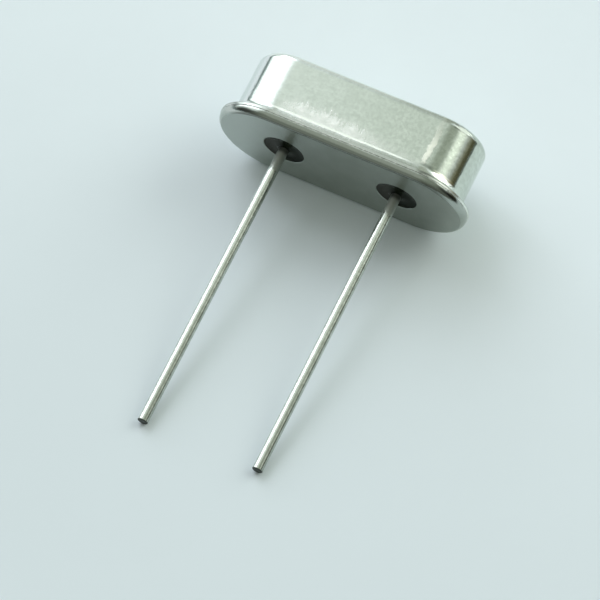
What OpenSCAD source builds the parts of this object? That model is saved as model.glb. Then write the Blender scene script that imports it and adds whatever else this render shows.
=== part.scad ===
// Low-profile quartz crystal unit in a two-lead metal can.
// Every piece is built upright, with the underside of the base at z = 0 and the leads
// hanging down, and is then laid over on the edge of its flange and its two lead ends.

/* [Can] */
// Length of the can, outside, along its long axis
can_l = 9.85; // [9:0.05:13]
// Width of the can, outside, across its broad sides
can_w = 3.7; // [3.3:0.05:5]
// Height of the can's top over the underside of the base
can_h = 3.25; // [2.9:0.05:5]
// Thickness of the can's drawn sheet
sheet = 0.14; // [0.12:0.01:0.2]
// Outside radius where the can's wall turns into its top
shoulder_r = 0.34; // [0.28:0.02:0.7]
// Outside radius where the can's wall turns out into its flange
root_r = 0.38; // [0.12:0.01:0.39]
// How far the can's flange stands out from its wall
flange_reach = 0.45; // [0.44:0.01:0.7]
// Radius round the upper edge of the can's flange
trim_r = 0.05; // [0.02:0.005:0.06]

/* [Base] */
// Thickness of the base's rim, under the can's flange
rim_t = 0.32; // [0.32:0.01:0.45]
// Thickness of the base's core, which rises inside the can
core_t = 0.85; // [0.7:0.01:1.1]
// Gap between the base's core and the can's wall
core_gap = 0.15; // [0.08:0.01:0.3]
// How far the base's rim stays inside the edge of the can's flange
rim_step = 0.02; // [0.01:0.005:0.06]
// Radius of the tight round where the underside of the base turns up
under_r = 0.04; // [0.02:0.01:0.1]
// Radius of the wide round that goes on from it up the side of the rim
roll_r = 0.32; // [0.29:0.01:0.5]
// Height at which the side of the rim stands upright
roll_h = 0.28; // [0.14:0.01:0.28]
// Radius round the two edges that meet at the weld seam
seam_r = 0.02; // [0.01:0.005:0.03]
// Radius round the top of the base's core
core_r = 0.12; // [0.05:0.01:0.2]
// Width of the break round the lower edge of each lead hole
hole_break = 0.03; // [0.01:0.01:0.08]

/* [Glass beads] */
// Diameter of the glass bead that fills each lead hole
bead_d = 1.74; // [1.4:0.02:2.1]
// How far a bead's rims stay inside the faces of the base
bead_recess = 0.02; // [0.01:0.01:0.1]
// Depth of the hollow that the glass draws between the hole and the lead
meniscus = 0.06; // [0.03:0.01:0.12]

/* [Leads] */
// Distance between the axes of the two leads
pitch = 4.88; // [4.4:0.02:5.4]
// Diameter of a tinned lead
lead_d = 0.43; // [0.4:0.01:0.5]
// Length of a lead below the underside of the base
lead_l = 12.7; // [8:0.1:20]
// Thickness of the tin on a lead
tin_t = 0.008; // [0.004:0.001:0.012]
// Length below the base over which the tin thins out to bare wire
feather_l = 0.7; // [0.6:0.05:1]
// Radius round the cut end of a lead
tip_r = 0.05; // [0.02:0.01:0.08]
// Diameter of the flat head on a lead's inner end
head_d = 0.8; // [0.7:0.02:1]
// Thickness of that head
head_t = 0.1; // [0.06:0.01:0.12]
// Gap between the base's core and the underside of a head
head_gap = 0.1; // [0.08:0.01:0.2]

/* [Spring clips] */
// Width of a clip's strip
clip_w = 1; // [0.8:0.02:1.3]
// Thickness of a clip's strip
clip_t = 0.1; // [0.06:0.01:0.12]
// Inside radius of the bend between a clip's foot and its upright
bend_r = 0.1; // [0.06:0.01:0.14]
// How far a clip's foot runs inwards past its lead's axis
foot_tail = 0.3; // [0.2:0.02:0.4]
// How far the top of a clip's upright stays below the top of the blank
upright_drop = 0.2; // [0.15:0.01:0.3]

/* [Quartz blank] */
// Gap between each end of the blank and the can's end wall
end_gap = 0.81; // [0.6:0.01:0.95]
// Gap between the top edge of the blank and the can's top
headroom = 0.26; // [0.18:0.01:0.35]
// Gap between the lower edge of the blank and the clips' feet
blank_lift = 0.12; // [0.05:0.01:0.2]
// Thickness of the blank
blank_t = 0.26; // [0.2:0.01:0.34]
// Thickness of the blank at its bevelled ends
blank_end_t = 0.16; // [0.1:0.01:0.18]
// Length of the bevel at each end of the blank
bevel_l = 0.9; // [0.5:0.05:1.2]
// How far each end of the blank passes through its clip
bite = 0.15; // [0.1:0.01:0.22]

/* [Electrodes and adhesive] */
// Length of an electrode's pad
pad_l = 4.4; // [3:0.1:5]
// Gap between a pad and the long edges of the blank
pad_gap = 0.2; // [0.1:0.01:0.3]
// Width of the strip that leads from a pad to its clip
strip_w = 0.36; // [0.2:0.01:0.5]
// Thickness of an electrode's film
film_t = 0.02; // [0.01:0.005:0.03]
// Diameter of the drop of conductive adhesive on a clip
drop_d = 0.72; // [0.62:0.01:0.76]

/* [Hidden] */
$fn = 64;

// Cutters run past what they cut by this much
past = 1;

// All outlines are two half circles on the same centres, joined by straights of this length
straight = can_l - can_w;
can_r = can_w / 2;
cavity_r = can_r - sheet;
flange_r = can_r + flange_reach;
rim_r = flange_r - rim_step;
core_out_r = cavity_r - core_gap;
flange_top = rim_t + sheet;

// The tight and the wide round meet this far out, and the flat underside ends inside that
roll_turn = asin((roll_h - under_r) / (roll_r - under_r));
roll_meets = rim_r - roll_r * (1 - cos(roll_turn));
flat_r = roll_meets - under_r * cos(roll_turn);

lead_r = lead_d / 2;
wire_r = lead_r - tin_t;
hole_r = bead_d / 2;
head_bottom = core_t + head_gap;
head_top = head_bottom + head_t;

// The blank stands on edge between the clips, midway between the broad sides
blank_l = can_l - 2 * (sheet + end_gap);
blank_bottom = head_top + clip_t + blank_lift;
blank_top = can_h - sheet - headroom;
blank_h = blank_top - blank_bottom;
upright_out = blank_l / 2 - bite;
upright_in = upright_out - clip_t;
upright_top = blank_top - upright_drop;

// The part lies on the lower corner of the can's flange and on the lower sides of the lead ends
rest_rise = flange_r - lead_r;
rest_run = rim_t + seam_r + lead_l - tip_r;
tilt = atan(rest_rise / rest_run);
lift = flange_r * cos(tilt) - (rim_t + seam_r) * sin(tilt);
top_end = (can_r - shoulder_r) * sin(tilt) + (can_h - shoulder_r) * cos(tilt) + shoulder_r;
tip_end = lead_l * cos(tilt) + (lead_r - tip_r) * sin(tilt);

// Lays a piece down and centres the part over its place on the surface
module lying() {
    translate([0, (tip_end - top_end) / 2, lift])
        rotate([tilt - 90, 0, 0])
            children();
}

// A solid with round ends, from one half of its cross-section
module round_ended() {
    for (side = [-1, 1])
        translate([side * straight / 2, 0, 0])
            rotate([0, 0, -side * 90])
                rotate_extrude(angle = 180)
                    children();
    rotate([90, 0, 90])
        linear_extrude(height = straight, center = true) {
            children();
            mirror([1, 0])
                children();
        }
}

// A half section from y = 0 up to a height, with its outer top corner rounded
module rounded_half(radius, height, corner) {
    square([radius - corner, height]);
    square([radius, height - corner]);
    translate([radius - corner, height - corner])
        circle(r = corner);
}

// The solid outer half section of the can: wall, top, flange and the sweep between them
module can_half() {
    translate([0, rim_t])
        rounded_half(can_r, can_h - rim_t, shoulder_r);
    translate([0, rim_t + seam_r])
        rounded_half(flange_r, sheet - seam_r, trim_r);
    translate([0, rim_t])
        square([flange_r - seam_r, seam_r]);
    translate([flange_r - seam_r, rim_t + seam_r])
        circle(r = seam_r);
    difference() {
        translate([0, rim_t])
            square([can_r + root_r, sheet + root_r]);
        translate([can_r + root_r, flange_top + root_r])
            circle(r = root_r);
    }
}

// The half section of the space in the can, which opens out over the bend of the flange
module cavity_half() {
    rounded_half(cavity_r, can_h - sheet, shoulder_r - sheet);
    difference() {
        translate([0, rim_t - past])
            square([can_r + root_r, sheet + root_r + past]);
        translate([can_r + root_r, flange_top + root_r])
            circle(r = root_r + sheet);
    }
}

module cover() {
    color("silver")
        lying()
            difference() {
                round_ended()
                    can_half();
                round_ended()
                    cavity_half();
            }
}

// The half section of the base: a coined rim with a thicker core that fills the mouth of the can.
// Stamping has rolled the rim's lower edge, in a tight round that runs into a wide one
module base_half() {
    square([flat_r, rim_t]);
    translate([flat_r, under_r])
        circle(r = under_r);
    translate([flat_r, under_r])
        square([roll_meets - flat_r, roll_h - under_r]);
    intersection() {
        translate([rim_r - roll_r, roll_h])
            circle(r = roll_r);
        translate([roll_meets, 0])
            square([rim_r - roll_meets, roll_h]);
    }
    translate([0, roll_h])
        rounded_half(rim_r, rim_t - roll_h, seam_r);
    rounded_half(core_out_r, core_t, core_r);
}

module base() {
    color("darkgray")
        lying()
            difference() {
                round_ended()
                    base_half();
                for (side = [-1, 1])
                    translate([side * pitch / 2, 0, 0]) {
                        translate([0, 0, -past])
                            cylinder(r = hole_r, h = core_t + 2 * past);
                        cylinder(r1 = hole_r + hole_break, r2 = hole_r, h = hole_break);
                    }
            }
}

// A glass bead fused between its hole and its lead, drawn into a hollow ring on both faces
module bead(side) {
    half_gap = (hole_r - wire_r) / 2;
    hollow_r = (half_gap * half_gap + meniscus * meniscus) / (2 * meniscus);
    color("black")
        lying()
            translate([side * pitch / 2, 0, 0])
                rotate_extrude()
                    difference() {
                        translate([wire_r, bead_recess])
                            square([2 * half_gap, core_t - 2 * bead_recess]);
                        for (centre = [bead_recess + meniscus - hollow_r,
                                       core_t - bead_recess - meniscus + hollow_r])
                            translate([wire_r + half_gap, centre])
                                circle(r = hollow_r);
                    }
}

// A tinned wire: rounded cut end, a coat that thins out below the base, and a flat head inside
module lead(side) {
    color("gainsboro")
        lying()
            translate([side * pitch / 2, 0, 0])
                rotate_extrude() {
                    translate([0, -lead_l])
                        square([lead_r - tip_r, lead_l]);
                    translate([lead_r - tip_r, tip_r - lead_l])
                        circle(r = tip_r);
                    translate([0, tip_r - lead_l])
                        square([lead_r, lead_l - tip_r - feather_l]);
                    polygon([[0, -feather_l], [lead_r, -feather_l], [wire_r, 0], [0, 0]]);
                    square([wire_r, head_top]);
                    translate([0, head_bottom])
                        square([head_d / 2, head_t]);
                }
}

// The side view of a clip: a foot on the lead's head, a bend, and an upright at the blank's end
module clip_side_view() {
    foot_z = head_top;
    corner = bend_r + clip_t;
    foot_in = pitch / 2 - foot_tail;
    translate([foot_in, foot_z])
        square([upright_out - corner - foot_in, clip_t]);
    translate([upright_in, foot_z + corner])
        square([clip_t, upright_top - foot_z - corner]);
    translate([upright_out - corner, foot_z + corner])
        intersection() {
            difference() {
                circle(r = corner);
                circle(r = bend_r);
            }
            translate([0, -corner])
                square(corner);
        }
}

// A bent strip whose upright is slit from the top, so that it grips the end of the blank
module clip(side) {
    color("lightsteelblue")
        lying()
            difference() {
                mirror([side < 0 ? 1 : 0, 0, 0])
                    rotate([90, 0, 0])
                        linear_extrude(height = clip_w, center = true)
                            clip_side_view();
                blank_solid();
            }
}

// The blank seen from above, with a skin of the given thickness on its two faces
module blank_outline(skin) {
    flat = blank_l / 2 - bevel_l;
    full = blank_t / 2 + skin;
    thin = blank_end_t / 2 + skin;
    polygon([
        [-blank_l / 2, -thin], [-flat, -full], [flat, -full], [blank_l / 2, -thin],
        [blank_l / 2, thin], [flat, full], [-flat, full], [-blank_l / 2, thin]
    ]);
}

module blank_solid() {
    translate([0, 0, blank_bottom])
        linear_extrude(height = blank_h)
            blank_outline(0);
}

module quartz_blank() {
    color("aliceblue")
        lying()
            blank_solid();
}

// The front view of an electrode: a pad in the middle and a strip to the clip on one side
module electrode_front_view(side) {
    pad_bottom = blank_bottom + pad_gap;
    pad_h = blank_h - 2 * pad_gap;
    translate([-pad_l / 2, pad_bottom])
        square([pad_l, pad_h]);
    translate([side > 0 ? 0 : -upright_in, pad_bottom + pad_h - strip_w])
        square([upright_in, strip_w]);
}

// A film on one face of the blank. face is -1 for the front and 1 for the rear
module electrode_solid(face, side) {
    intersection() {
        translate([0, 0, blank_bottom])
            linear_extrude(height = blank_h)
                difference() {
                    blank_outline(film_t);
                    blank_outline(0);
                }
        translate([0, face * blank_t, 0])
            rotate([90, 0, 0])
                linear_extrude(height = 2 * blank_t, center = true)
                    electrode_front_view(side);
    }
}

module electrode_front() {
    color("whitesmoke")
        lying()
            electrode_solid(-1, -1);
}

module electrode_rear() {
    color("whitesmoke")
        lying()
            electrode_solid(1, 1);
}

// A drop of adhesive over the top of a clip, round the end of the blank
module adhesive(side) {
    color("dimgray")
        lying()
            difference() {
                translate([side * (upright_in + clip_t / 2), 0, upright_top])
                    sphere(d = drop_d);
                mirror([side < 0 ? 1 : 0, 0, 0])
                    rotate([90, 0, 0])
                        linear_extrude(height = clip_w, center = true)
                            clip_side_view();
                blank_solid();
                electrode_solid(side, side);
            }
}

cover();
base();
bead(-1);  // bead_left
bead(1);  // bead_right
lead(-1);  // lead_left
lead(1);  // lead_right
clip(-1);  // clip_left
clip(1);  // clip_right
quartz_blank();
electrode_front();
electrode_rear();
adhesive(-1);  // adhesive_left
adhesive(1);  // adhesive_right
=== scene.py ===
"""Looks of a low-profile quartz crystal unit: a drawn can welded to a base with two glass-sealed leads.

It lies on the edge of its flange and on its two lead ends. Sections are drawn upright, in mm, with
the underside of the base at height 0 and the leads hanging down. They are swept round the can's
outline or round a lead, and laid over as the part lies. The marks on the metal have their places in
the same upright mm: x along the can, y across it with the photo's side below 0, and z up.
Nothing here changes a CAD solid.
"""

import math

import bpy
from mathutils import Matrix, Vector, geometry, noise


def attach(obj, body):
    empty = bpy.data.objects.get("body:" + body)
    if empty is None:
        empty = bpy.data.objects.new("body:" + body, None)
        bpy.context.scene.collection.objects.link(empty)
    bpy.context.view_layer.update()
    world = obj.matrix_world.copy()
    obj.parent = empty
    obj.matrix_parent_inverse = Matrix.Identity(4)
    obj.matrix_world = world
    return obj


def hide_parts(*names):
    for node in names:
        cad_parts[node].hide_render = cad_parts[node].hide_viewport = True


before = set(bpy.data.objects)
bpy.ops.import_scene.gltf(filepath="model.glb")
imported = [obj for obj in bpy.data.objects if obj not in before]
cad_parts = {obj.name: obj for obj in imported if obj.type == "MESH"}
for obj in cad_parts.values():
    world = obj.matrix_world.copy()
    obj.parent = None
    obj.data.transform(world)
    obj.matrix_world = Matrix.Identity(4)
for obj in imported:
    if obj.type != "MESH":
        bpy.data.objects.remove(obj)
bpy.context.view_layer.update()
MM = 0.001

# ---------------------------------------------------------------- sizes, in mm, as in the solids

# The can: its outside, its sheet, the rounds at its top and its foot, and its flange
CAN_LENGTH, CAN_WIDTH, CAN_HEIGHT = 9.85, 3.7, 3.25
SHEET = 0.14
SHOULDER, ROOT = 0.34, 0.38
FLANGE_REACH, TRIM = 0.45, 0.05

# The base: its rim, its raised core, and how far each stays inside the can's wall and flange
RIM_THICK, CORE_THICK = 0.32, 0.85
CORE_GAP, RIM_STEP = 0.15, 0.02

# Its rounds: the tight and the wide one of the rolled lower edge, the seam's, the core's and a hole's
UNDER_ROUND, ROLL_ROUND, ROLL_HEIGHT = 0.04, 0.32, 0.28
SEAM_ROUND, CORE_ROUND, HOLE_BREAK = 0.02, 0.12, 0.03

# The beads, and the hollow that the glass draws between the hole and the lead
BEAD_WIDTH, BEAD_RECESS, MENISCUS = 1.74, 0.02, 0.06

# The leads: their axes and wire, the tin that thins out near the base, the cut end and the inner head
PITCH, LEAD_WIDTH, LEAD_LENGTH = 4.88, 0.43, 12.7
TIN, FEATHER, TIP_ROUND = 0.008, 0.7, 0.05
HEAD_WIDTH, HEAD_THICK, HEAD_GAP = 0.8, 0.1, 0.1

# The scene alone rounds the base's corners inside the can, by this much
HIDDEN_ROUND = 0.02

# The can's outline has round ends, on a middle line that reaches this far each way from the centre
HALF_STRAIGHT = (CAN_LENGTH - CAN_WIDTH) / 2

# The angle below the level at which the tight and the wide round of the rolled edge meet
ROLL_TURN = math.asin((ROLL_HEIGHT - UNDER_ROUND) / (ROLL_ROUND - UNDER_ROUND))

# Distances from the middle line, or from the axis of a lead
CAN_R = CAN_WIDTH / 2
CAVITY_R = CAN_R - SHEET
FLANGE_R = CAN_R + FLANGE_REACH
RIM_R = FLANGE_R - RIM_STEP
CORE_R = CAVITY_R - CORE_GAP
FLAT_R = RIM_R - ROLL_ROUND + (ROLL_ROUND - UNDER_ROUND) * math.cos(ROLL_TURN)
HOLE_R = BEAD_WIDTH / 2
LEAD_R = LEAD_WIDTH / 2
WIRE_R = LEAD_R - TIN
HEAD_R = HEAD_WIDTH / 2

# Heights
FLANGE_TOP = RIM_THICK + SHEET
WALL_FOOT = FLANGE_TOP + ROOT
WALL_TOP = CAN_HEIGHT - SHOULDER
HEAD_BOTTOM = CORE_THICK + HEAD_GAP
HEAD_TOP = HEAD_BOTTOM + HEAD_THICK
TIP = TIP_ROUND - LEAD_LENGTH

# How the part lies: it leans back until the flange's edge and the lead ends touch the surface
TILT = math.atan2(FLANGE_R - LEAD_R, RIM_THICK + SEAM_ROUND + LEAD_LENGTH - TIP_ROUND)
SIN, COS = math.sin(TILT), math.cos(TILT)
LIFT = FLANGE_R * COS - (RIM_THICK + SEAM_ROUND) * SIN
TOP_END = (CAN_R - SHOULDER) * SIN + WALL_TOP * COS + SHOULDER
TIP_END = LEAD_LENGTH * COS + (LEAD_R - TIP_ROUND) * SIN
LAID_TURN = TILT - math.pi / 2
LAID_SHIFT = Vector((0, (TIP_END - TOP_END) / 2, LIFT))
LAID = Matrix.Translation(LAID_SHIFT * MM) @ Matrix.Rotation(LAID_TURN, 4, "X") @ Matrix.Scale(MM, 4)
LAID_NORMAL = Matrix.Rotation(LAID_TURN, 3, "X")

# How finely the meshes are cut: steps round half a circle of the can's outline, of a hole, of a bead
# and of a lead. Each straight of the outline has as many steps as its half circle
OUTLINE_STEPS, HOLE_STEPS, BEAD_STEPS, LEAD_STEPS = 96, 40, 48, 24

# Points of a section that lie closer than this are one, and so are places that agree in these digits
SAME_POINT, SAME_DIGITS = 1e-6, 6

# The drawn sheet's wander: its depth, its level, its waves per mm, and the height over which it grows
WANDER_DEPTH, WANDER_LEVEL, WANDER_SCALE, WANDER_GROWS = 0.005, 0.3, 0.45, 0.5

# Where the wander's noise is read, how its octaves fade, the factor between them and their number
NOISE_SHIFT = Vector((7.31, 3.17, 1))
NOISE_FADE, NOISE_FACTOR, NOISE_OCTAVES = 1.0, 2.0, 2

# A wander's slope is measured over this distance
SLOPE_REACH = 0.01

# Most values of a noise lie in this range
NOISE_RANGE = (0.3, 0.7)

# A flat face's inner points lie this far apart, and clear of its edges by a share of that
PLATE_SPACING, PLATE_CLEAR = 0.25, 0.4

# The kind of triangulation that fills the hull of its rings, and the tolerance of its nearness tests
FILL_HULL, FILL_NEAR = 0, 1e-7

# The sockets of a mix node that a mix of colours uses. Their names are shared with its other kinds
MIX_AMOUNT, MIX_FIRST, MIX_SECOND, MIX_RESULT = 0, 6, 7, 2


# ---------------------------------------------------------------- mesh tools


class Section:
    """A section as radius and height. Each point keeps the normal of the stretch before it and after it."""

    def __init__(self):
        self.points = []

    def put(self, r, z, normal):
        """Adds a point whose normal is that of the stretch that ends or starts there."""
        if self.points and math.dist(self.points[-1][0], (r, z)) < SAME_POINT:
            at, before, _ = self.points[-1]
            self.points[-1] = (at, before, normal)
        else:
            self.points.append(((r, z), normal, normal))

    def line(self, start, end, steps=1, solid_left=True):
        """A straight stretch. The solid is on the left, going from start to end, or else on the right."""
        along = Vector(end) - Vector(start)
        sign = 1 if solid_left else -1
        normal = (sign * along.y / along.length, -sign * along.x / along.length)
        for k in range(steps + 1):
            at = Vector(start) + along * k / steps
            self.put(at.x, at.y, normal)

    def arc(self, centre, radius, start, end, steps, hollow=False):
        """A round stretch, from one angle to another in degrees. A hollow one has its solid outside it."""
        sign = -1 if hollow else 1
        for k in range(steps + 1):
            a = math.radians(start + (end - start) * k / steps)
            c, s = math.cos(a), math.sin(a)
            self.put(centre[0] + radius * c, centre[1] + radius * s, (sign * c, sign * s))


def stations(half_straight, arc_steps, straight_steps=1):
    """Places round an outline with round ends: its centre along x, and its direction outwards."""
    made = []
    for side in (1, -1):
        for k in range(arc_steps):
            a = math.pi * (k / arc_steps - side * 0.5)
            made.append((side * half_straight, math.cos(a), math.sin(a)))
        if half_straight:
            for k in range(straight_steps):
                made.append((side * half_straight * (1 - 2 * k / straight_steps), 0.0, float(side)))
    return made


class Shape:
    """Vertices, faces and a normal for each corner of a face, in mm, upright."""

    def __init__(self, relief=None):
        self.at, self.faces, self.normals, self.known = [], [], [], {}
        self.relief = relief

    def vertex(self, place):
        """The number of the vertex at a place."""
        key = tuple(round(v, SAME_DIGITS) for v in place)
        if key not in self.known:
            self.known[key] = len(self.at)
            self.at.append(Vector(place))
        return self.known[key]

    def face(self, corners):
        """corners holds a place and a normal for each. Corners that meet are made one."""
        kept = []
        for place, normal in corners:
            index = self.vertex(place)
            if index not in [k[0] for k in kept]:
                kept.append((index, Vector(normal)))
        if len(kept) > 2:
            facing = geometry.normal([self.at[k[0]] for k in kept])
            if facing.dot(sum((k[1] for k in kept), Vector())) < 0:
                kept.reverse()
            self.faces.append([k[0] for k in kept])
            self.normals += [k[1] for k in kept]

    def sweep(self, section, places, shift=0.0):
        """Sweeps a section round the given stations."""
        points = section.points
        for here, there in zip(places, places[1:] + places[:1]):
            for (p0, _, n0), (p1, n1, _) in zip(points, points[1:]):
                corners = []
                for (r, z), (nr, nz), (cx, ux, uy) in (
                    (p0, n0, here),
                    (p1, n1, here),
                    (p1, n1, there),
                    (p0, n0, there),
                ):
                    corners.append(((cx + shift + r * ux, r * uy, z), (nr * ux, nr * uy, nz)))
                self.face(corners)

    def raised(self):
        """The vertices moved by the relief, and the corners' normals turned with its slopes."""
        corners = [index for face in self.faces for index in face]
        mean = [Vector() for _ in self.at]
        for index, normal in zip(corners, self.normals):
            mean[index] += normal
        moved, slopes = [], []
        for place, out in zip(self.at, (m.normalized() for m in mean)):
            height = self.relief(place)
            slope = Vector()
            side = out.orthogonal().normalized()
            for along in (side, out.cross(side)):
                slope += along * ((self.relief(place + along * SLOPE_REACH) - height) / SLOPE_REACH)
            slopes.append(slope)
            moved.append(place + out * height)
        return moved, [(n - slopes[k]).normalized() for n, k in zip(self.normals, corners)]

    def mesh(self, name, material):
        """The object, laid over, with its relief and the normals that go with it."""
        at, normals = self.raised() if self.relief else (self.at, self.normals)
        made = bpy.data.meshes.new(name)
        made.from_pydata([LAID @ p for p in at], [], self.faces)
        made.shade_smooth()
        made.normals_split_custom_set([LAID_NORMAL @ n for n in normals])
        return place_object(name, made, material)


def place_object(name, mesh, material):
    """An object with that mesh and one material, in the scene."""
    mesh.materials.append(material)
    made = bpy.data.objects.new(name, mesh)
    bpy.context.scene.collection.objects.link(made)
    return made


def smooth(value, low, high):
    """0 below low, 1 above high, and a smooth way between."""
    t = min(max((value - low) / (high - low), 0.0), 1.0)
    return t * t * (3 - 2 * t)


# ---------------------------------------------------------------- node tools


class Net:
    """Short forms for building a node tree. A mask is a number from 0 to 1."""

    def __init__(self, tree):
        tree.nodes.clear()
        self.tree = tree

    def node(self, kind, *values, **settings):
        """A node with its inputs in order, or by name in a dict, and its settings."""
        made = self.tree.nodes.new(kind)
        for key, value in settings.items():
            setattr(made, key, value)
        pairs = []
        for k, value in enumerate(values):
            pairs += list(value.items()) if isinstance(value, dict) else [(k, value)]
        for key, value in pairs:
            if value is None:
                continue
            if isinstance(value, bpy.types.NodeSocket):
                self.tree.links.new(value, made.inputs[key])
            else:
                made.inputs[key].default_value = value
        return made

    def math(self, what, *values):
        return self.node("ShaderNodeMath", *values, operation=what).outputs[0]

    def times(self, first, *others):
        """The product of all the values."""
        for other in others:
            first = self.math("MULTIPLY", first, other)
        return first

    def plus(self, value, factor, start):
        """start + factor * value"""
        return self.math("MULTIPLY_ADD", value, factor, start)

    def minus(self, a, b):
        return self.math("SUBTRACT", a, b)

    def absolute(self, value):
        return self.math("ABSOLUTE", value)

    def dot(self, a, b):
        return self.node("ShaderNodeVectorMath", a, b, operation="DOT_PRODUCT").outputs["Value"]

    def axes(self, vector):
        """The vector's x, y and z."""
        return self.node("ShaderNodeSeparateXYZ", vector).outputs

    def step(self, value, low, high, start=0.0, end=1.0):
        """start below low, end above high, and a smooth way between."""
        names = {"Value": value, "From Min": low, "From Max": high, "To Min": start, "To Max": end}
        return self.node("ShaderNodeMapRange", names, interpolation_type="SMOOTHSTEP").outputs[0]

    def fall(self, value, low, high, start=1.0, end=0.0):
        """As a step, but from 1 to 0."""
        return self.step(value, low, high, start, end)

    def band(self, value, rise, fall, start=0.0, top=1.0, end=0.0):
        """A band between a rise and a fall. Each of these is a pair: where it starts and where it ends.

        It goes from a share of its top to the top, and then to its end.
        """
        return self.times(self.step(value, *rise, start), self.fall(value, *fall, top, end))

    def close(self, value, place, inner, outer, start=1.0):
        """start within inner of a place, and 0 beyond outer."""
        return self.fall(self.absolute(self.minus(value, place)), inner, outer, start)

    def mix(self, amount, a, b):
        """A mix of two colours."""
        made = self.tree.nodes.new("ShaderNodeMix")
        made.data_type = "RGBA"
        for place, value in ((MIX_AMOUNT, amount), (MIX_FIRST, a), (MIX_SECOND, b)):
            socket = made.inputs[place]
            if isinstance(value, bpy.types.NodeSocket):
                self.tree.links.new(value, socket)
            elif socket.type == "RGBA":
                socket.default_value = (*value, 1)
            else:
                socket.default_value = value
        return made.outputs[MIX_RESULT]

    def layers(self, tone, *layers):
        """Colours laid over a tone in turn. Each layer is a mask and its colour."""
        for mask, colour in layers:
            tone = self.mix(mask, tone, colour)
        return tone

    def upright(self):
        """Upright coordinates in mm, for a piece or a node that lies as the part lies."""
        where = self.node("ShaderNodeTexCoord").outputs["Object"]
        laid = (tuple(LAID_SHIFT * MM), (LAID_TURN, 0, 0), (MM, MM, MM))
        return self.node("ShaderNodeMapping", where, *laid, vector_type="TEXTURE").outputs[0]

    def out_from_middle(self, x, y):
        """The distance from the middle line of the can's outline."""
        beyond = self.math("MAXIMUM", self.minus(self.absolute(x), HALF_STRAIGHT), 0.0)
        return self.math("SQRT", self.math("ADD", self.times(beyond, beyond), self.times(y, y)))

    def right_of_lead(self, x):
        """How far x is to the right of the axis of the lead on its side."""
        return self.minus(x, self.times(self.math("SIGN", x), PITCH / 2))

    def noise(self, vector, scale, detail, rough=0.5):
        """Noise with features of 1 / scale. A scale for each axis draws it out along the smallest."""
        if isinstance(scale, tuple):
            vector = self.node("ShaderNodeMapping", vector, (0, 0, 0), (0, 0, 0), scale).outputs[0]
            scale = 1.0
        names = {"Vector": vector, "Scale": scale, "Detail": detail, "Roughness": rough}
        return self.node("ShaderNodeTexNoise", names).outputs[0]

    def bumps(self, *layers):
        """Bumps over each other. Each layer is a height, what 1 of it is in mm, and its strength."""
        normal = None
        for height, depth, strength in layers:
            names = {"Strength": strength, "Distance": depth * MM, "Height": height, "Normal": normal}
            normal = self.node("ShaderNodeBump", names).outputs[0]
        return normal

    def surface(self, tone, rough, normal=None, metallic=0.0, ior=None, specular=None):
        """A principled shader. What is None keeps the shader's own value."""
        names = {
            "Base Color": tone,
            "Metallic": metallic,
            "Roughness": rough,
            "Normal": normal,
            "IOR": ior,
            "Specular IOR Level": specular,
        }
        return self.node("ShaderNodeBsdfPrincipled", names).outputs[0]

    def output(self, shader):
        self.node("ShaderNodeOutputMaterial", {"Surface": shader})


def new_material(name, kind=Net):
    """A new material and the net of its nodes."""
    made = bpy.data.materials.new(name)
    made.use_nodes = True
    return made, kind(made.node_tree)


# ---------------------------------------------------------------- materials, with colours as linear light

# The can's sheet: its cloudy ground, its grain and its patches, with painted light at the left of its broad
# sides and a painted reflection's bluer tint on its left end
CAN_GROUND = (0.64, 0.69, 0.62), (0.69, 0.74, 0.67)
CAN_GRAIN = (0.575, 0.625, 0.555)
CAN_PAINTED_LIGHT_LEFT = (0.78, 0.83, 0.785)
CAN_PATCH = (0.47, 0.52, 0.46)
CAN_LEFT_END_PAINTED_TINT = (0.645, 0.695, 0.675)

# The marks on it, with painted highlights and painted shade among them
# Scuffs, painted white as a highlight
SCUFFS_AND_PAINTED_HIGHLIGHT = (1.0, 1.0, 0.96)
RUBBED_FOOT = (0.93, 0.96, 0.89)
# A painted highlight for the streak and the patch at the right round end
CORNER_PAINTED_HIGHLIGHT = (1.0, 1.0, 0.9)
STAINED = (0.30, 0.33, 0.29)
# Painted shade and a painted highlight on the shoulder's round
SHOULDER_SHADE, SHOULDER_PAINTED_DARK = (0.40, 0.43, 0.39), (0.18, 0.19, 0.175)
SHOULDER_PAINTED_HIGHLIGHT = (0.92, 0.96, 0.90)
# The flange's edge, with painted shade at its ends and a painted highlight on the right
FLANGE_EDGE, FLANGE_PAINTED_SHADE, FLANGE_PAINTED_HIGHLIGHT = (0.48, 0.51, 0.46), (0.17, 0.185, 0.16), (0.80, 0.83, 0.77)
FLANGE_LINE = (0.04, 0.045, 0.04)

# A painted highlight on both sides of the weld seam
SEAM_PAINTED_HIGHLIGHT = (1.0, 1.0, 0.97)

# The base
BASE_GROUND = (0.37, 0.40, 0.365), (0.41, 0.44, 0.405)
# Painted light at the left of the underside
BASE_PAINTED_LIGHT_LEFT = (0.52, 0.56, 0.52)
BASE_SIDE = (0.435, 0.47, 0.43)
# Painted shade on the tight round of the lower edge
BASE_PAINTED_SHADE = (0.14, 0.155, 0.135)
BASE_SEAM = (0.30, 0.32, 0.285)
# Painted shade on the rolled edge at the right end
BASE_PAINTED_DARK_RIGHT = (0.06, 0.065, 0.055)

# The beads
GLASS_GROUND = (0.005, 0.008, 0.005), (0.014, 0.019, 0.011)
GLASS_PIT = (0.05, 0.055, 0.045)
# Painted light on the left of each bead
GLASS_PAINTED_LIGHT_LEFT = (0.05, 0.05, 0.043)

# The leads
TIN_GROUND = (0.46, 0.495, 0.44), (0.62, 0.655, 0.60)
# Painted shade in a band right of the lead's middle
TIN_PAINTED_SHADE_BAND = (0.33, 0.355, 0.31)
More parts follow.
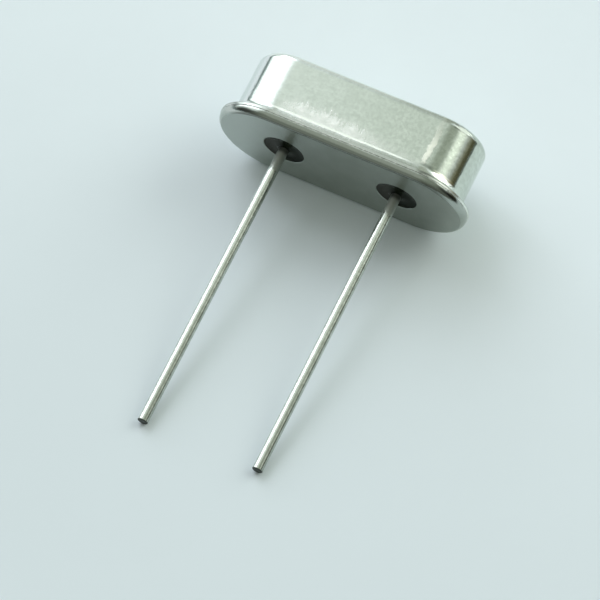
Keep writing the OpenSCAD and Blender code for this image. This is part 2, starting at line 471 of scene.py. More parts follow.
# A painted highlight along the lead's middle, and painted light on its left edge
TIN_PAINTED_HIGHLIGHT, TIN_PAINTED_LIGHT_EDGE = (0.84, 0.87, 0.80), (0.95, 0.97, 0.95)
TIN_RIGHT_SHADE = (0.24, 0.26, 0.225)
# The bare root, and the darker tone it takes near the bead
BARE_ROOT, ROOT_NEAR_BEAD = (0.46, 0.48, 0.44), (0.12, 0.125, 0.11)
CUT_END = (0.09, 0.10, 0.09)

# Inside the can
CLIP_STEEL = (0.50, 0.50, 0.47), (0.60, 0.60, 0.57)
QUARTZ = (0.72, 0.78, 0.80), (0.86, 0.90, 0.91)
SILVER_FILM = (0.84, 0.82, 0.78), (0.93, 0.91, 0.88)
SILVER_ADHESIVE = (0.38, 0.38, 0.37), (0.56, 0.56, 0.54)

# The floor with painted light, lighter from its front to its back, and its mottle
FLOOR_PAINTED_DIM_FRONT, FLOOR_PAINTED_BRIGHT_BACK = (0.718, 0.776, 0.812), (0.834, 0.893, 0.934)
FLOOR_MOTTLE = (0.66, 0.71, 0.735)
# The painted glow that mirrors see on the floor's left part
FLOOR_PAINTED_GLOW = (1.0, 1.07, 1.12)


def front_side(net, y):
    """The mask of the side that faces the photo's camera."""
    return net.fall(y, -0.3, 0.0)


def seam_highlight_along(net, x):
    """How strong the painted highlight of the seam is along the can: most in the middle, and least at the
    left.
    """
    return net.band(x, rise=(-3.4, -1.6), fall=(0.4, 1.8), start=0.45, end=0.7)


class CanNet(Net):
    """The can's coordinates and noises, and a mask or a tone for each mark on it."""

    def __init__(self, tree):
        super().__init__(tree)
        at = self.upright()
        self.x, self.y, self.z = self.axes(at)
        self.cloud = self.noise(at, scale=0.9, detail=3)
        self.grain = self.noise(at, scale=6.0, detail=3, rough=0.65)
        self.drawn = self.noise(at, scale=(9.0, 9.0, 0.6), detail=3, rough=0.6)
        self.strokes = self.noise(at, scale=(5.0, 5.0, 1.6), detail=4, rough=0.65)
        self.blotch = self.noise(at, scale=(1.7, 1.7, 2.6), detail=4, rough=0.6)
        self.patch = self.noise(at, scale=(3.0, 3.0, 4.0), detail=4, rough=0.7)
        self.broad = self.step(self.absolute(self.y), CAN_R - 0.12, CAN_R - 0.02)
        self.front = front_side(self, self.y)
        self.flange = self.fall(self.z, FLANGE_TOP, FLANGE_TOP + 0.06)

    def belt(self):
        """Scuffs above the flange on the broad sides, painted pale as a highlight. Their ragged top sinks
        towards the right.
        """
        reach = self.band(self.x, rise=(-3.5, -2.3), fall=(-0.8, 2.9), end=0.2)
        top = self.math("ADD", self.times(reach, 0.4), self.plus(self.strokes, 1.3, 0.34))
        ragged_top = self.fall(self.minus(self.z, top), -0.3, 0.26)
        scuffs = self.times(
            self.step(self.blotch, 0.36, 0.6, start=0.6), self.step(self.patch, 0.4, 0.6, start=0.65)
        )
        thin_foot = self.step(self.z, WALL_FOOT - 0.14, WALL_FOOT - 0.04, start=0.45)
        return self.times(ragged_top, reach, self.broad, scuffs, thin_foot)

    def foot(self):
        """The bright worn line at the wall's foot, which wanders up and down a little."""
        height = self.math("ADD", self.z, self.plus(self.blotch, 0.05, -0.025))
        line = self.close(height, WALL_FOOT - 0.04, inner=0.02, outer=0.055)
        along = self.band(self.x, rise=(-3.6, -2.9), fall=(2.0, 3.0))
        return self.times(line, self.step(self.grain, 0.25, 0.55, start=0.45), along, self.front)

    def streak(self):
        """A painted highlight: a bright streak up the wall where the right round end starts."""
        line = self.close(self.plus(self.blotch, 0.4, self.x), 3.39, inner=0.05, outer=0.15)
        height = self.band(self.z, rise=(0.85, 1.1), fall=(1.6, 2.8), end=0.2)
        return self.times(line, self.step(self.grain, 0.25, 0.55, start=0.7), height, self.front)

    def corner(self):
        """A painted highlight: the bright patch at the foot of the right round end."""
        along = self.band(self.x, rise=(3.6, 3.8), fall=(4.4, 4.6))
        height = self.band(self.z, rise=(0.58, 0.7), fall=(0.89, 0.96))
        return self.times(along, height, self.front)

    def stain(self):
        """The dark stain to the left of that patch, with a ragged top."""
        along = self.band(self.x, rise=(3.0, 3.3), fall=(3.5, 3.7))
        ragged_top = self.fall(self.plus(self.grain, 0.2, self.z), 1.0, 1.14, start=0.85)
        return self.times(along, self.step(self.z, 0.8, 0.88), ragged_top, self.front)

    def brow(self):
        """The lower part of the shoulder's round, on the front."""
        rise = (WALL_TOP - 0.05, WALL_TOP + 0.03)
        return self.times(self.band(self.z, rise, fall=(WALL_TOP + 0.15, WALL_TOP + 0.25)), self.front)

    def crest(self):
        """Where the shoulder gets a painted highlight: the upper part of its round, on the front, fading
        towards the right.
        """
        height = self.step(self.z, WALL_TOP + 0.07, WALL_TOP + 0.15)
        return self.times(height, self.fall(self.x, 0.8, 2.0, start=0.55), self.front)

    def painted_dark_reflection(self):
        """Where the right round end of the shoulder gets painted shade for the darkest part of the room,
        which it mirrors.
        """
        return self.band(self.x, rise=(3.55, 3.7), fall=(4.1, 4.4), top=0.8, end=0.1)

    def flange_tone(self):
        """The flange's edge, with painted shade on the front at both ends, and a painted highlight low on
        the right.
        """
        right = self.band(self.x, rise=(3.1, 3.4), fall=(3.6, 4.5), end=0.5)
        ends = self.math("MAXIMUM", right, self.fall(self.x, -3.4, -2.9, start=0.3))
        low = self.fall(self.z, FLANGE_TOP - 0.06, FLANGE_TOP - 0.03)
        # A painted highlight low on the right
        painted_highlight_low = self.times(self.step(self.x, 3.5, 3.8), low)
        # Painted shade on the front at both ends
        painted_shade_ends = self.times(ends, self.front)
        return self.layers(FLANGE_EDGE, (painted_shade_ends, FLANGE_PAINTED_SHADE), (painted_highlight_low, FLANGE_PAINTED_HIGHLIGHT))

    def flange_line(self):
        """The dark line along the flange's top edge at the right round end."""
        rise, fall = (FLANGE_TOP - 0.09, FLANGE_TOP - 0.03), (FLANGE_TOP + 0.01, FLANGE_TOP + 0.04)
        along = self.band(self.x, rise=(3.4, 3.7), fall=(4.4, 4.7), top=0.85)
        return self.times(self.band(self.z, rise, fall), along, self.front)

    def seam_highlight(self):
        """A painted highlight just above the weld seam."""
        low = self.fall(self.z, RIM_THICK + 0.02, RIM_THICK + 0.045)
        return self.times(low, self.fall(self.grain, 0.4, 0.55, start=0.9, end=0.3), seam_highlight_along(self, self.x))

    def dented(self):
        """The lower wall of the left round end, whose soft dents break up what it mirrors."""
        return self.times(self.fall(self.x, -3.3, -2.9), self.fall(self.z, 1.0, 1.9, end=0.1))


def can_metal():
    """Bright nickel sheet with fine mottle, faint drawing lines up the wall, scuffs and a worn line at its
    foot, with painted highlights on the scuffs, the seam, the flange and the right end, and painted shade on
    the shoulder and the flange's ends.
    """
    made, net = new_material("can_nickel", CanNet)
    belt, foot, streak, brow = net.belt(), net.foot(), net.streak(), net.brow()
    tone = net.layers(
        net.mix(net.step(net.cloud, *NOISE_RANGE), *CAN_GROUND),
        (net.step(net.grain, 0.38, 0.62), CAN_GRAIN),
        # painted light: the broad sides are lighter towards the left
        (net.times(net.fall(net.x, -3.6, 3.6, start=0.8), net.broad), CAN_PAINTED_LIGHT_LEFT),
        (net.step(net.patch, 0.4, 0.62, end=0.22), CAN_PATCH),
        # painted reflection: the left round end takes the bluer tint of the floor it mirrors
        (net.fall(net.x, -4.5, -4.1, start=0.9), CAN_LEFT_END_PAINTED_TINT),
        # scuffs, painted white as a highlight
        (belt, SCUFFS_AND_PAINTED_HIGHLIGHT),
        (foot, RUBBED_FOOT),
        # painted highlights: the streak and the patch at the right round end
        (net.math("MAXIMUM", streak, net.corner()), CORNER_PAINTED_HIGHLIGHT),
        (net.stain(), STAINED),
        # painted shade on the shoulder's lower round, a little towards the right
        (net.times(brow, net.step(net.x, 1.2, 2.2, end=0.15)), SHOULDER_SHADE),
        # painted highlight on the shoulder's upper round
        (net.crest(), SHOULDER_PAINTED_HIGHLIGHT),
        # painted shade where the shoulder's right end mirrors the darkest part of the room
        (net.times(brow, net.painted_dark_reflection()), SHOULDER_PAINTED_DARK),
        # the flange's edge, with its painted shade and painted highlight
        (net.times(net.flange, 0.8), net.flange_tone()),
        # painted highlight just above the weld seam
        (net.seam_highlight(), SEAM_PAINTED_HIGHLIGHT),
        (net.flange_line(), FLANGE_LINE),
    )
    rough = net.step(net.grain, 0.25, 0.75, start=0.08, end=0.14)
    for mask, more in ((net.broad, 0.06), (belt, 0.24), (foot, 0.4), (streak, 0.35), (net.flange, 0.12)):
        rough = net.plus(mask, more, rough)
    relief = net.bumps(
        (net.grain, 0.005, 0.5),
        (net.drawn, 0.002, 0.5),
        (net.times(net.strokes, belt), 0.012, 0.8),
        (net.times(net.blotch, net.dented()), 0.03, 0.7),
    )
    net.output(net.surface(tone, rough, relief, metallic=1.0))
    return made


def base_metal():
    """Plated steel, duller than the can: satin below, brighter on the rolled rim, with a stained seam. It
    has painted light at the left of its underside and along the seam, and painted shade on its lower edge
    and at its right end.
    """
    made, net = new_material("base_nickel")
    at = net.upright()
    x, y, z = net.axes(at)
    cloud = net.noise(at, scale=1.1, detail=3)
    grain = net.noise(at, scale=9.0, detail=3, rough=0.6)
    out = net.out_from_middle(x, y)
    side = net.step(out, FLAT_R, FLAT_R + 0.06)
    # painted shade on the tight round of the lower edge, on the front
    painted_shade_under_edge = net.times(
        net.step(out, FLAT_R - 0.05, FLAT_R - 0.01),
        net.fall(z, 0.03, 0.06),
        net.fall(y, -1.9, -1.2, start=0.9),
    )
    seam = net.times(net.step(z, 0.2, 0.29), net.step(grain, 0.45, 0.6, end=0.6))
    # painted shade on the rolled edge at the right end, on the front
    painted_shade_right_end = net.times(
        net.band(x, rise=(4.0, 4.45), fall=(4.9, 5.05)),
        net.band(z, rise=(0.13, 0.18), fall=(0.23, 0.28), top=0.85),
        front_side(net, y),
    )
    # painted highlight just below the weld seam
    seam_highlight = net.times(
        net.step(z, RIM_THICK - 0.035, RIM_THICK - 0.015),
        net.fall(grain, 0.45, 0.6, start=0.9, end=0.3),
        seam_highlight_along(net, x),
    )
    tone = net.layers(
        net.mix(net.step(cloud, *NOISE_RANGE), *BASE_GROUND),
        # painted light at the left of the underside
        (net.fall(x, -4.4, -2.0, start=0.75), BASE_PAINTED_LIGHT_LEFT),
        (side, BASE_SIDE),
        (painted_shade_under_edge, BASE_PAINTED_SHADE),
        (seam, BASE_SEAM),
        (seam_highlight, SEAM_PAINTED_HIGHLIGHT),
        (painted_shade_right_end, BASE_PAINTED_DARK_RIGHT),
    )
    rough = net.plus(side, -0.16, net.step(grain, 0.25, 0.75, start=0.29, end=0.35))
    net.output(net.surface(tone, rough, net.bumps((grain, 0.004, 0.5)), metallic=1.0))
    return made


def bead_glass():
    """Dark fused glass with a few fine bubbles under a glossy skin, with painted light that makes it a
    little paler at the left.
    """
    made, net = new_material("bead_glass")
    at = net.upright()
    cloud = net.noise(at, scale=2.2, detail=3, rough=0.6)
    cells = net.node("ShaderNodeTexVoronoi", {"Vector": at, "Scale": 9.0}).outputs["Distance"]
    pit = net.fall(cells, 0.06, 0.16)
    tone = net.layers(
        net.mix(net.step(cloud, 0.35, 0.7), *GLASS_GROUND),
        (net.times(pit, 0.4), GLASS_PIT),
        # painted light on the left of each bead
        (net.fall(net.right_of_lead(net.axes(at)[0]), -0.5, 0.0, start=0.9), GLASS_PAINTED_LIGHT_LEFT),
    )
    rough = net.step(cloud, *NOISE_RANGE, start=0.14, end=0.22)
    relief = net.bumps((net.times(pit, -1.0), 0.012, 0.6))
    net.output(net.surface(tone, rough, relief, ior=1.40, specular=0.12))
    return made


def lead_metal():
    """Tinned wire: drawn lines along it, faint dimples, a matt bare root darker near the bead and a dark
    sheared end, with a painted highlight along its middle, painted light on its left edge and painted shade
    on its right.
    """
    made, net = new_material("lead_tin")
    at = net.upright()
    x, _, z = net.axes(at)
    lines = net.noise(at, scale=(30.0, 30.0, 0.7), detail=3, rough=0.6)
    dimple = net.noise(at, scale=5.0, detail=3, rough=0.6)
    ragged = net.plus(net.noise(at, scale=4.0, detail=2), 0.5, -FEATHER - 0.45)
    root = net.step(net.minus(z, ragged), -0.1, 0.1)
    # the root is darker near the bead
    darker_near_bead = net.step(z, -0.28, -0.08, end=0.9)
    cut = net.fall(z, TIP - 0.03, TIP + 0.02)
    offset = net.right_of_lead(x)
    # painted light on the left edge and a painted highlight along the middle
    painted_light_left_edge = net.fall(offset, -0.19, -0.14, start=0.6)
    painted_highlight_band = net.close(offset, 0.035, inner=0.02, outer=0.06, start=0.75)
    # painted shade in a band right of the lead's middle
    painted_shade_band = net.close(offset, 0.125, inner=0.03, outer=0.07)
    painted_shade_band = net.times(painted_shade_band, net.fall(dimple, 0.35, 0.6, end=0.6))
    shade = net.times(net.fall(z, -13.0, -4.0, start=0.3), net.step(offset, 0.0, 0.05))
    tone = net.layers(
        net.mix(net.step(dimple, 0.35, 0.65), *TIN_GROUND),
        (painted_shade_band, TIN_PAINTED_SHADE_BAND),
        (painted_highlight_band, TIN_PAINTED_HIGHLIGHT),
        (painted_light_left_edge, TIN_PAINTED_LIGHT_EDGE),
        (shade, TIN_RIGHT_SHADE),
        (root, BARE_ROOT),
        (darker_near_bead, ROOT_NEAR_BEAD),
        (cut, CUT_END),
    )
    rough = net.step(lines, 0.25, 0.75, start=0.18, end=0.24)
    for mask, more in ((root, 0.36), (cut, 0.3)):
        rough = net.plus(mask, more, rough)
    relief = net.bumps((lines, 0.003, 0.6), (dimple, 0.006, 0.5))
    net.output(net.surface(tone, rough, relief, metallic=1.0))
    return made


def grained(name, tones, roughness, scale, detail, grit, depth, strength, **others):
    """An even material with a fine grain, between two tones and between two roughnesses."""
    made, net = new_material(name)
    grain = net.noise(net.upright(), scale, detail, grit)
    light = net.step(grain, *NOISE_RANGE)
    relief = net.bumps((grain, depth, strength))
    rough = net.step(grain, *NOISE_RANGE, *roughness)
    net.output(net.surface(net.mix(light, *tones), rough, relief, **others))
    return made


def inner_metal(name, tones, roughness):
    """Plain metal or film inside the can."""
    return grained(
        name, tones, roughness, scale=14.0, detail=3, grit=0.6, depth=0.01, strength=0.4, metallic=1.0
    )


def quartz():
    """A lapped quartz blank, frosted by its grinding."""
    return grained(
        "lapped_quartz",
        QUARTZ,
        (0.35, 0.55),
        scale=24.0,
        detail=4,
        grit=0.7,
        depth=0.004,
        strength=0.5,
        ior=1.54,
    )


def floor_paper():
    """A plain pale sheet with painted light that makes it a little lighter towards the back, and the
    faintest mottle.

    Mirrors see its left part with a painted glow, as if the window lit it.
    """
    made, net = new_material("pale_sheet")
    where = net.node("ShaderNodeTexCoord").outputs["Object"]
    x, y, _ = net.axes(where)
    mottle = net.noise(where, scale=260.0, detail=3, rough=0.6)
    tone = net.layers(
        # painted light: lighter towards the back
        net.mix(net.step(y, -16 * MM, 16 * MM), FLOOR_PAINTED_DIM_FRONT, FLOOR_PAINTED_BRIGHT_BACK),
        (net.step(mottle, *NOISE_RANGE, end=0.06), FLOOR_MOTTLE),
    )
    # a painted glow that only mirrors see, on the floor's left part
    lit = net.node("ShaderNodeEmission", (*FLOOR_PAINTED_GLOW, 1), 1.0)
    mirrored = net.node("ShaderNodeLightPath").outputs["Is Glossy Ray"]
    near_window = net.times(mirrored, net.fall(x, -14 * MM, -7 * MM))
    both = net.node("ShaderNodeMixShader", near_window, net.surface(tone, rough=0.7), lit.outputs[0])
    net.output(both.outputs[0])
    return made


# ---------------------------------------------------------------- camera, light and floor


def sky(azimuth, elevation):
    """The direction to a place in the room, in degrees from +X towards +Y and above the surface."""
    a, e = math.radians(azimuth), math.radians(elevation)
    return Vector((math.cos(a) * math.cos(e), math.sin(a) * math.cos(e), math.sin(e)))


class RoomNet(Net):
    """The room as mirrors see it: patches laid over each other, with places and half angles in degrees."""

    def __init__(self, tree, walls):
        super().__init__(tree)
        self.ray = self.node("ShaderNodeTexCoord").outputs["Generated"]
        self.x, self.y, self.z = self.axes(self.ray)
        self.colour = walls

    def disc(self, azimuth, elevation, inner, outer):
        """The mask of a round patch, full up to inner and gone at outer."""
        near = self.dot(self.ray, tuple(sky(azimuth, elevation)))
        return self.step(near, math.cos(math.radians(outer)), math.cos(math.radians(inner)))

    def panel(self, azimuth, elevation, half_wide, half_high, soft):
        """The mask of an upright rectangle, whose edges are soft by that share of its size."""
        ahead = sky(azimuth, elevation)
        side = Vector((0, 0, 1)).cross(ahead).normalized()
        # What lies beside or behind counts as far off to the side
        depth = self.math("MAXIMUM", self.dot(self.ray, tuple(ahead)), 0.001)
        inside = []
        for axis, half in ((side, half_wide), (ahead.cross(side), half_high)):
            off = self.absolute(self.math("DIVIDE", self.dot(self.ray, tuple(axis)), depth))
            limit = math.tan(math.radians(half))
            inside.append(self.fall(off, limit * (1 - soft), limit * (1 + soft)))
        return self.times(*inside)

    def lay(self, mask, colour, amount=None):
        """Lays a colour over the room where the mask is 1, in full or by that amount."""
        if amount:
            mask = self.times(mask, amount)
        self.colour = self.mix(mask, self.colour, colour)


# The room's light, as linear light that may be brighter than white
ROOM_WALLS = (0.90, 0.975, 0.985)
BACK_WALL = (0.78, 0.83, 0.84), (0.90, 0.98, 1.01)
CEILING = (0.80, 0.875, 0.81)
CUPBOARD, STOOL = (0.46, 0.50, 0.44), (0.33, 0.36, 0.31)
LIT_PANEL, LIT_DOOR = (3.5, 3.75, 3.95), (2.9, 3.1, 2.9)
RIGHT_GLOW, WINDOW_HALO = (1.06, 1.12, 1.01), (1.7, 1.76, 1.78)
RIGHT_DUSK = (0.42, 0.47, 0.40)
FRONT_SHADE = (0.13, 0.145, 0.12), (0.36, 0.405, 0.34)
FRONT_HIGH, FRONT_LEFT = (0.50, 0.54, 0.48), (0.25, 0.275, 0.24)
FRONT_LOW = (0.14, 0.15, 0.13)
RIGHT_LOW = (0.095, 0.09, 0.05), (0.21, 0.205, 0.13)
FRONT_PALE, RIGHT_BLACK = (0.30, 0.325, 0.29), (0.010, 0.012, 0.010)
LEFT_DUSK = (0.055, 0.06, 0.055)
PANE_LOW, PANE_MIDDLE, PANE_HIGH = (1.05, 1.15, 1.2), (2.8, 3.05, 3.2), (3.8, 4.05, 4.3)
CURTAIN = (1.05, 1.1, 1.12)
BACKDROP = (0.72, 0.81, 0.83)

# The dark furniture stands this way, forwards and a little to the right
FURNITURE_WAY = (0.342, -0.940, 0)


def window_pane(net):
    """The window's light: dim at its foot, brightest at its top, with a curtain in its upper right."""
    pane = net.mix(net.step(net.z, 0.04, 0.2), PANE_LOW, PANE_MIDDLE)
    # The tangent of the way to the right, seen looking at the left wall
    rightwards = net.math("DIVIDE", net.y, net.math("MAXIMUM", net.times(net.x, -1.0), 0.01))
    curtain = net.times(net.step(rightwards, 0.36, 0.58), net.step(net.z, 0.6, 0.75))
    return net.layers(pane, (net.step(net.z, 0.25, 0.8), PANE_HIGH), (curtain, CURTAIN))


def room():
    """A pale room with a tall window on the left, which has a curtain and a halo at its upper corners.

    The room is darker in front, with dark furniture low down in front and on the right. A cupboard
    and a stool stand at the back, between a lit panel on the left and a lit door on the right. The
    camera sees a plain backdrop instead.
    """
    world = bpy.data.worlds.new("room")
    world.use_nodes = True
    net = RoomNet(world.node_tree, ROOM_WALLS)
    net.lay(net.disc(95, 30, inner=15, outer=60), net.mix(net.step(net.z, 0.1, 0.5), *BACK_WALL))
    net.lay(net.disc(112, 80, inner=10, outer=26), CEILING, 0.85)
    net.lay(net.panel(92, 33, half_wide=11, half_high=36, soft=0.3), CUPBOARD)
    net.lay(net.panel(131, 30, half_wide=8, half_high=20, soft=0.3), LIT_PANEL)
    net.lay(net.disc(20, 40, inner=6, outer=16), RIGHT_GLOW, 0.9)
    net.lay(net.disc(168, 44, inner=6, outer=26), WINDOW_HALO, 0.85)
    net.lay(net.disc(34, 62, inner=4, outer=18), RIGHT_DUSK)
    net.lay(net.disc(300, 50, inner=44.5, outer=49.5), net.mix(net.step(net.z, 0.15, 1.0), *FRONT_SHADE))
    net.lay(net.disc(240, 68, inner=24, outer=29), FRONT_HIGH)
    net.lay(net.disc(235, 30, inner=14, outer=27), FRONT_LEFT)
    that_way = net.step(net.dot(net.ray, FURNITURE_WAY), -0.35, -0.05)
    furniture = net.times(that_way, net.fall(net.z, 0.19, 0.60))
    on_right = net.mix(net.step(net.z, 0.1, 0.28), *RIGHT_LOW)
    net.lay(furniture, net.mix(net.step(net.y, -0.2, 0.15), FRONT_LOW, on_right))
    net.lay(net.disc(257, 13, inner=10, outer=22), FRONT_PALE)
    net.lay(net.disc(356, 14, inner=5, outer=15), RIGHT_BLACK)
    net.lay(net.disc(203, 10, inner=9, outer=33), LEFT_DUSK, 0.9)
    net.lay(net.panel(91, 2, half_wide=7, half_high=9, soft=0.4), STOOL)
    door_top = net.disc(47, 34, inner=16, outer=20)
    door = net.panel(63, 6, half_wide=11, half_high=18, soft=0.2)
    net.lay(net.math("MAXIMUM", door_top, door), LIT_DOOR)
    net.lay(net.panel(155.5, 28, half_wide=10.5, half_high=28, soft=0.08), window_pane(net))
    light = net.node("ShaderNodeBackground", net.colour, 1.0)
    seen = net.node("ShaderNodeBackground", (*BACKDROP, 1), 1.0)
    camera_ray = net.node("ShaderNodeLightPath").outputs["Is Camera Ray"]
    both = net.node("ShaderNodeMixShader", camera_ray, light.outputs[0], seen.outputs[0])
    net.node("ShaderNodeOutputWorld", {"Surface": both.outputs[0]})
    bpy.context.scene.world = world


# The photo's camera: its place, what it looks at, its roll, and its lens and sensor in mm
CAMERA_AT = Vector((36.316, -86.796, 149.285)) * MM
CAMERA_AIM = Vector((0.581, -0.171, 0.0)) * MM
CAMERA_ROLL = math.radians(3.40)
CAMERA_LENS, CAMERA_SENSOR = 270, 36

# The camera sees from here to there, in metres, and the floor reaches this far from its middle
CAMERA_NEAR, CAMERA_FAR = 0.005, 50
FLOOR_HALF = 0.6

# The flags stand along y and reach this far each way, in mm
FLAG_HALF = 60


def camera():
    data = bpy.data.cameras.new("camera")
    data.lens, data.sensor_width = CAMERA_LENS, CAMERA_SENSOR
    data.clip_start, data.clip_end = CAMERA_NEAR, CAMERA_FAR
    made = bpy.data.objects.new("camera", data)
    bpy.context.scene.collection.objects.link(made)
    turn = (CAMERA_AIM - CAMERA_AT).to_track_quat("-Z", "Y").to_matrix().to_4x4()
    made.matrix_world = Matrix.Translation(CAMERA_AT) @ turn @ Matrix.Rotation(CAMERA_ROLL, 4, "Z")
    bpy.context.scene.camera = made


def quad(name, corners, material):
    """One flat face, as a part of the stage."""
    data = bpy.data.meshes.new(name)
    data.from_pydata(corners, [], [(0, 1, 2, 3)])
    made = place_object(name, data, material)
    return made


def floor():
    turns = ((-1, -1), (1, -1), (1, 1), (-1, 1))
    quad("floor", [(x * FLOOR_HALF, y * FLOOR_HALF, 0) for x, y in turns], floor_paper())


def flag(name, x, low, high, tone):
    """A studio flag: an upright strip near the part, which only its polished metal mirrors. Sizes in mm."""
    cloth, net = new_material(name + "_cloth")
    net.output(net.surface((*tone, 1), 1.0))
    corners = ((x, -FLAG_HALF, low), (x, FLAG_HALF, low), (x, FLAG_HALF, high), (x, -FLAG_HALF, high))
    strip = quad(name, [Vector(corner) * MM for corner in corners], cloth)
    strip.visible_camera = strip.visible_diffuse = strip.visible_shadow = False
    strip.visible_transmission = strip.visible_volume_scatter = False


# ---------------------------------------------------------------- pieces

AROUND = stations(HALF_STRAIGHT, OUTLINE_STEPS, OUTLINE_STEPS)
HOLE_ROUND = stations(0, HOLE_STEPS)
SIDES = {"left": -1, "right": 1}


def cover_relief(p):
    """How far the drawn sheet strays from its form, outwards in mm."""
    wave = noise.fractal(p * WANDER_SCALE + NOISE_SHIFT, NOISE_FADE, NOISE_FACTOR, NOISE_OCTAVES)
    return smooth(p.z, WALL_FOOT, WALL_FOOT + WANDER_GROWS) * WANDER_DEPTH * (wave - WANDER_LEVEL)


def cover():
    """The drawn can, from the middle of its top out over its flange and back up inside."""
    made = Section()
    made.line((0, CAN_HEIGHT), (CAN_R - SHOULDER, CAN_HEIGHT), steps=10, solid_left=False)
    made.arc((CAN_R - SHOULDER, WALL_TOP), SHOULDER, 90, 0, steps=14)
    made.line((CAN_R, WALL_TOP), (CAN_R, WALL_FOOT), steps=24, solid_left=False)
    made.arc((CAN_R + ROOT, WALL_FOOT), ROOT, 180, 270, steps=16, hollow=True)
    made.arc((FLANGE_R - TRIM, FLANGE_TOP - TRIM), TRIM, 90, 0, steps=6)
    made.arc((FLANGE_R - SEAM_ROUND, RIM_THICK + SEAM_ROUND), SEAM_ROUND, 0, -90, steps=4)
    made.arc((CAN_R + ROOT, WALL_FOOT), ROOT + SHEET, 270, 180, steps=8)
    made.arc((CAVITY_R - (SHOULDER - SHEET), WALL_TOP), SHOULDER - SHEET, 0, 90, steps=6, hollow=True)
    made.put(0, CAN_HEIGHT - SHEET, (0, -1))
    shape = Shape(cover_relief)
    shape.sweep(made, AROUND)
    return shape.mesh("can_cover", can_metal())


def plate(shape, z, ring_r, hole_r, normal):
    """A flat face with round ends and a hole round each lead, between rings that are already there."""
    rings = [[(cx + ring_r * ux, ring_r * uy) for cx, ux, uy in AROUND]]
    for side in SIDES.values():
        rings.append([(side * PITCH / 2 + cx + hole_r * ux, hole_r * uy) for cx, ux, uy in HOLE_ROUND])
    places, edges = [], []
    for ring in rings:
        first = len(places)
        places += [Vector(p) for p in ring]
        edges += [(first + k, first + (k + 1) % len(ring)) for k in range(len(ring))]

    def inside(x, y, clear):
        beyond = max(abs(x) - HALF_STRAIGHT, 0.0)
        off_holes = all(math.hypot(x - side * PITCH / 2, y) > hole_r + clear for side in SIDES.values())
        return off_holes and math.hypot(beyond, y) < ring_r - clear

    columns = int((HALF_STRAIGHT + ring_r) / PLATE_SPACING)
    rows = int(ring_r / PLATE_SPACING)
    for i in range(-columns, columns + 1):
        for j in range(-rows, rows + 1):
            x, y = i * PLATE_SPACING, j * PLATE_SPACING
            if inside(x, y, PLATE_SPACING * PLATE_CLEAR):
                places.append(Vector((x, y)))
    points, _, faces, _, _, _ = geometry.delaunay_2d_cdt(places, edges, [], FILL_HULL, FILL_NEAR)
    for face in faces:
        middle = sum((points[k] for k in face), Vector((0, 0))) / len(face)
        if inside(middle.x, middle.y, 0.0):
            turn = face if normal[2] > 0 else list(reversed(face))
            shape.face([((points[k].x, points[k].y, z), normal) for k in turn])


def base():
    """The base plate, from the edge of its flat underside up its rolled rim and its core, with two holes."""
    rim = Section()
    turn = math.degrees(ROLL_TURN)
    rim.arc((FLAT_R, UNDER_ROUND), UNDER_ROUND, 270, 360 - turn, steps=4)
    rim.arc((RIM_R - ROLL_ROUND, ROLL_HEIGHT), ROLL_ROUND, -turn, 0, steps=12)
    rim.arc((RIM_R - SEAM_ROUND, RIM_THICK - SEAM_ROUND), SEAM_ROUND, 0, 90, steps=4)
    inner_corner = (CORE_R + HIDDEN_ROUND, RIM_THICK + HIDDEN_ROUND)
    rim.arc(inner_corner, HIDDEN_ROUND, 270, 180, steps=3, hollow=True)
    rim.arc((CORE_R - CORE_ROUND, CORE_THICK - CORE_ROUND), CORE_ROUND, 0, 90, steps=6)
    hole = Section()
    hole.arc((HOLE_R + HIDDEN_ROUND, CORE_THICK - HIDDEN_ROUND), HIDDEN_ROUND, 90, 180, steps=3)
    hole.arc((HOLE_R + HOLE_BREAK, HOLE_BREAK), HOLE_BREAK, 180, 270, steps=6)
    shape = Shape()
    shape.sweep(rim, AROUND)
    for side in SIDES.values():
        shape.sweep(hole, HOLE_ROUND, side * PITCH / 2)
    plate(shape, 0.0, FLAT_R, HOLE_R + HOLE_BREAK, (0, 0, -1))
    plate(shape, CORE_THICK, CORE_R - CORE_ROUND, HOLE_R + HIDDEN_ROUND, (0, 0, 1))
    return shape.mesh("welded_base", base_metal())


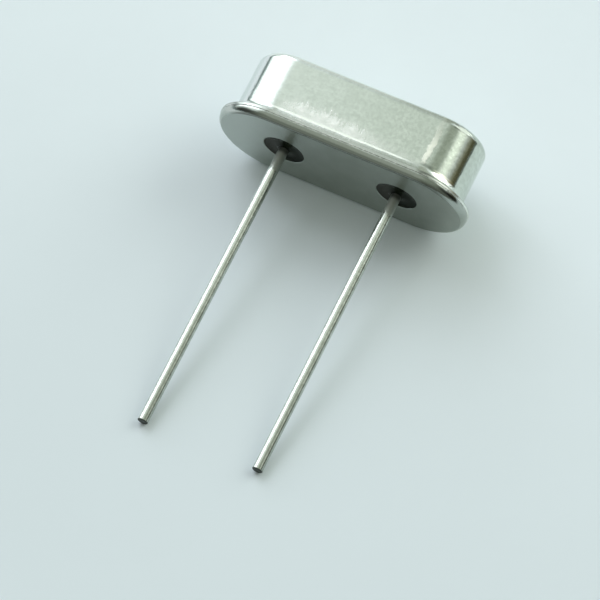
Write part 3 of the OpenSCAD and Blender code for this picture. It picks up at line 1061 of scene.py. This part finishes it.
def bead(name, material):
    """A glass bead with a hollow ring in its top and in its underside."""
    half_gap = (HOLE_R - WIRE_R) / 2
    middle = WIRE_R + half_gap
    hollow = (half_gap**2 + MENISCUS**2) / (2 * MENISCUS)
    spread = math.degrees(math.asin(half_gap / hollow))
    low, high = BEAD_RECESS, CORE_THICK - BEAD_RECESS
    above, below = (middle, high - MENISCUS + hollow), (middle, low + MENISCUS - hollow)
    # The two straight walls lie against the base and the wire. Their normals face into the glass
    made = Section()
    made.arc(above, hollow, 270 - spread, 270 + spread, steps=14, hollow=True)
    made.line((HOLE_R, high), (HOLE_R, low), steps=2)
    made.arc(below, hollow, 90 - spread, 90 + spread, steps=14, hollow=True)
    made.line((WIRE_R, low), (WIRE_R, high), steps=2)
    shape = Shape()
    shape.sweep(made, stations(0, BEAD_STEPS), SIDES[name] * PITCH / 2)
    return shape.mesh("glass_bead_" + name, material)


def lead(name, material):
    """A lead, from the middle of its cut end up to its inner head."""
    end = -LEAD_LENGTH
    made = Section()
    made.line((0, end), (LEAD_R - TIP_ROUND, end), steps=5)
    made.arc((LEAD_R - TIP_ROUND, TIP), TIP_ROUND, 270, 360, steps=6)
    made.line((LEAD_R, TIP), (LEAD_R, -FEATHER), steps=150)
    made.line((LEAD_R, -FEATHER), (WIRE_R, 0), steps=6)
    made.line((WIRE_R, 0), (WIRE_R, HEAD_BOTTOM), steps=2)
    made.line((WIRE_R, HEAD_BOTTOM), (HEAD_R, HEAD_BOTTOM))
    made.line((HEAD_R, HEAD_BOTTOM), (HEAD_R, HEAD_TOP))
    made.line((HEAD_R, HEAD_TOP), (0, HEAD_TOP))
    shape = Shape()
    shape.sweep(made, stations(0, LEAD_STEPS), SIDES[name] * PITCH / 2)
    return shape.mesh("tinned_lead_" + name, material)


def keep(piece, node):
    """Ties a piece to the part's one body, and hides the node that it dresses."""
    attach(piece, "root")
    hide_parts(node)


camera()
room()
floor()
flag("flag_left", x=-25, low=0.8, high=3.9, tone=(0.36, 0.40, 0.42))
flag("flag_right", x=30, low=2.0, high=4.2, tone=(0.12, 0.13, 0.11))
keep(cover(), "cover")
keep(base(), "base")
glass, tin = bead_glass(), lead_metal()
for name in SIDES:
    keep(bead(name, glass), "bead_" + name)
    keep(lead(name, tin), "lead_" + name)

INSIDE = (
    (inner_metal("clip_steel", CLIP_STEEL, (0.2, 0.32)), ("clip_left", "clip_right")),
    (quartz(), ("quartz_blank",)),
    (inner_metal("silver_film", SILVER_FILM, (0.12, 0.3)), ("electrode_front", "electrode_rear")),
    (inner_metal("silver_adhesive", SILVER_ADHESIVE, (0.45, 0.7)), ("adhesive_left", "adhesive_right")),
)
for material, nodes in INSIDE:
    for node in nodes:
        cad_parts[node].material_slots[0].material = material

bpy.context.scene.view_settings.view_transform = "Standard"
